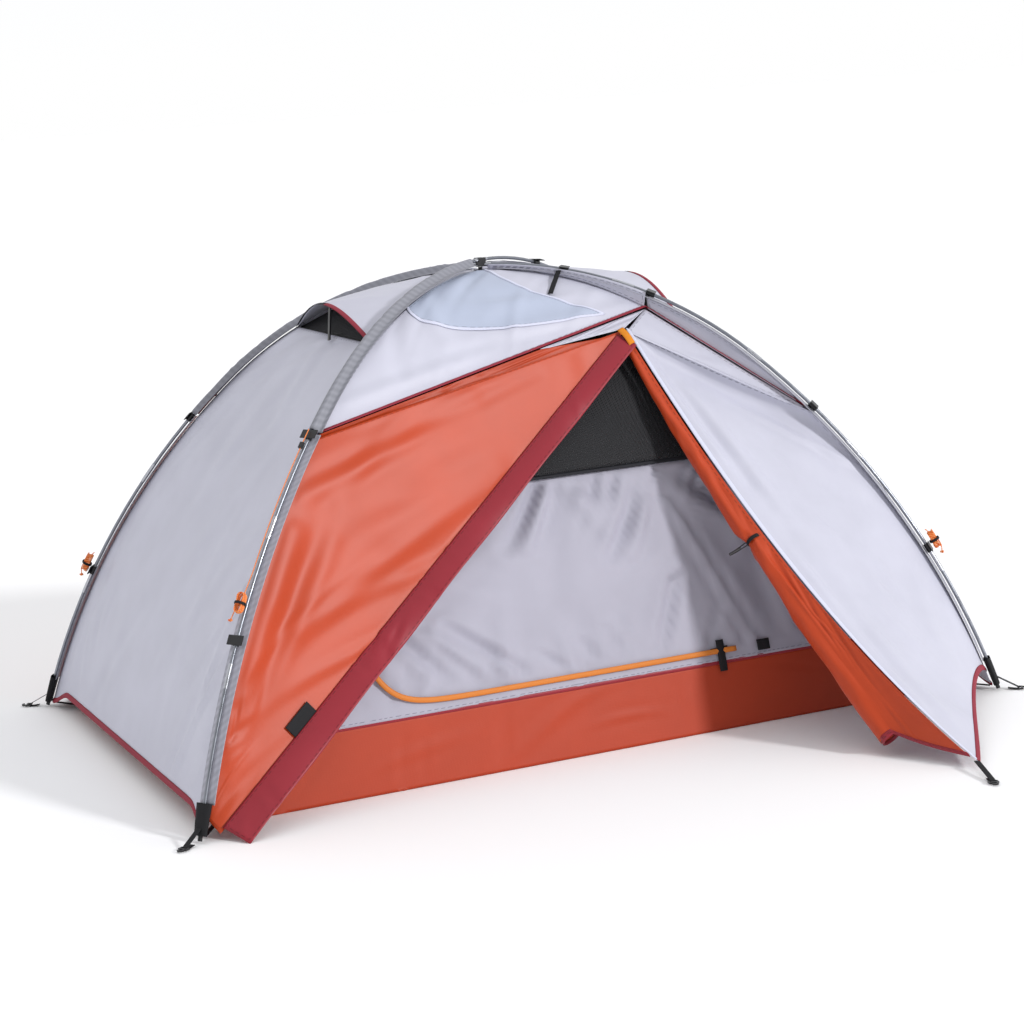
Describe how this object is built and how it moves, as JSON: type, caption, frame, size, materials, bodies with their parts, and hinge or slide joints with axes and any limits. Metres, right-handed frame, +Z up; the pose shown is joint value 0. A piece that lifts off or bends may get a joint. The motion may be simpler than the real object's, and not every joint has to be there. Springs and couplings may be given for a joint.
{
  "type": "two-person dome tent",
  "caption": "Two-pole dome tent with a fly in sleeves and clips, a rolled-open vestibule door, propped roof vents, a mesh and cloth inner with a bathtub floor, and peg hooks.",
  "frame": {"origin": "on the ground, straight under the place where the two poles cross", "axes": "+X runs along the sleepers, towards the bare halves of the poles; -Y is the side whose door is rolled open; +Z is up"},
  "size_m": [2.3382, 2.8346, 1.2089],
  "materials": {
    "sleeve_cloth": "matte",
    "black_plastic": "moulded",
    "crown_cloth": "matte",
    "door_cloth": "matte",
    "zip_tape": "matte",
    "fly_cloth": "matte",
    "webbing": "matte",
    "guy_cord": "matte",
    "crimson_cloth": "matte",
    "mesh": "matte",
    "tub_cloth": "matte",
    "inner_cloth": "matte",
    "pole_alloy": "satin anodised",
    "joint_alloy": "satin anodised",
    "shock_cord": "braided cover",
    "orange_cloth": "matte"
  },
  "bodies": {
    "tent": {"backing_bands": "sleeve_cloth", "crossing_tie": "black_plastic", "crown_panels": "crown_cloth", "door_back": "door_cloth", "door_front": "door_cloth", "door_zips": "zip_tape", "fly_end_left": "fly_cloth", "fly_end_right": "fly_cloth", "fly_roof_back": "fly_cloth", "fly_roof_front": "fly_cloth", "foot_pockets": "webbing", "guy_hank_lb": "guy_cord", "guy_hank_lf": "guy_cord", "guy_hank_rb": "guy_cord", "guy_hank_rf": "guy_cord", "guy_line_lf": "guy_cord", "hood_bindings": "crimson_cloth", "hood_gussets": "fly_cloth", "hood_wings": "fly_cloth", "inner_hangers": "webbing", "inner_mesh_panels": "mesh", "inner_tub": "tub_cloth", "inner_wall_back": "inner_cloth", "inner_wall_front": "inner_cloth", "inner_wall_left": "inner_cloth", "inner_wall_right": "inner_cloth", "inner_zip": "zip_tape", "label_patch": "webbing", "peg_webbings": "webbing", "pole_a_sections": "pole_alloy", "pole_b_sections": "pole_alloy", "pole_clips": "black_plastic", "pole_end_plugs": "black_plastic", "pole_joint_sleeves": "joint_alloy", "pole_shock_cords": "shock_cord", "pole_sleeve_a": "sleeve_cloth", "pole_sleeve_b": "sleeve_cloth", "roof_straps": "webbing", "storm_flap_back": "crimson_cloth", "storm_flap_front": "crimson_cloth", "vent_hood_left": "fly_cloth", "vent_hood_right": "fly_cloth", "vent_meshes": "mesh", "vestibule_side_back": "fly_cloth", "vestibule_side_front": "fly_cloth", "vestibule_wall_back": "orange_cloth", "vestibule_wall_front": "orange_cloth"},
    "peg_hook_foot_lf": {"peg_hook_foot_lf": "black_plastic"},
    "peg_hook_foot_rf": {"peg_hook_foot_rf": "black_plastic"},
    "peg_hook_foot_rb": {"peg_hook_foot_rb": "black_plastic"},
    "peg_hook_foot_lb": {"peg_hook_foot_lb": "black_plastic"},
    "peg_hook_front": {"peg_hook_front": "black_plastic"},
    "peg_hook_back": {"peg_hook_back": "black_plastic"},
    "zip_slider_front": {"zip_slider_front": "black_plastic"},
    "zip_slider_back": {"zip_slider_back": "black_plastic"},
    "inner_zip_slider": {"inner_zip_slider": "black_plastic"},
    "guy_lock": {"guy_lock": "black_plastic"},
    "vent_prop_left": {"vent_prop_left": "black_plastic"},
    "vent_prop_right": {"vent_prop_right": "black_plastic"},
    "door_toggle": {"door_toggle": "black_plastic"}
  },
  "joints": [
    {"name": "peg_hook_foot_lf_hinge", "type": "hinge", "parent": "tent", "child": "peg_hook_foot_lf", "pos_m": [-1.1459, -0.7553, 0.0042], "axis": [-0.5503, 0.835, 0], "range_deg": [0, 100]},
    {"name": "peg_hook_foot_rf_hinge", "type": "hinge", "parent": "tent", "child": "peg_hook_foot_rf", "pos_m": [1.1459, -0.7553, 0.0042], "axis": [-0.5503, -0.835, 0], "range_deg": [0, 100]},
    {"name": "peg_hook_foot_rb_hinge", "type": "hinge", "parent": "tent", "child": "peg_hook_foot_rb", "pos_m": [1.1459, 0.7553, 0.0042], "axis": [0.5503, -0.835, 0], "range_deg": [0, 100]},
    {"name": "peg_hook_foot_lb_hinge", "type": "hinge", "parent": "tent", "child": "peg_hook_foot_lb", "pos_m": [-1.1459, 0.7553, 0.0042], "axis": [0.5503, 0.835, 0], "range_deg": [0, 100]},
    {"name": "peg_hook_front_hinge", "type": "hinge", "parent": "tent", "child": "peg_hook_front", "pos_m": [0.6173, -1.3919, 0.0042], "axis": [-0.963, 0.2696, 0], "range_deg": [0, 100]},
    {"name": "peg_hook_back_hinge", "type": "hinge", "parent": "tent", "child": "peg_hook_back", "pos_m": [0.6173, 1.3919, 0.0042], "axis": [0.963, 0.2696, 0], "range_deg": [0, 100]},
    {"name": "door_zip_front_slide", "type": "slide", "parent": "tent", "child": "zip_slider_front", "axis": [-0.7727, -0.2676, -0.5756], "range_m": [0, 1.5]},
    {"name": "door_zip_back_slide", "type": "slide", "parent": "tent", "child": "zip_slider_back", "axis": [-0.7727, 0.2676, -0.5756], "range_m": [0, 1.5]},
    {"name": "inner_zip_slide", "type": "slide", "parent": "tent", "child": "inner_zip_slider", "axis": [-1, 0, 0], "range_m": [0, 0.9]},
    {"name": "guy_lock_slide", "type": "slide", "parent": "tent", "child": "guy_lock", "axis": [-0.5908, -0.3894, -0.7066], "range_m": [-0.02, 0.02]},
    {"name": "vent_prop_left_hinge", "type": "hinge", "parent": "tent", "child": "vent_prop_left", "pos_m": [-0.4354, -0.016, 1.1197], "axis": [0, 1, 0], "range_deg": [0, 80]},
    {"name": "vent_prop_right_hinge", "type": "hinge", "parent": "tent", "child": "vent_prop_right", "pos_m": [0.4354, -0.016, 1.1197], "axis": [0, -1, 0], "range_deg": [0, 80]},
    {"name": "door_toggle_turn", "type": "hinge", "parent": "tent", "child": "door_toggle", "pos_m": [0.35628, -0.67745, 0.4715], "axis": [0.2532, -0.6892, -0.6789], "range_deg": [-90, 90]}
  ]
}
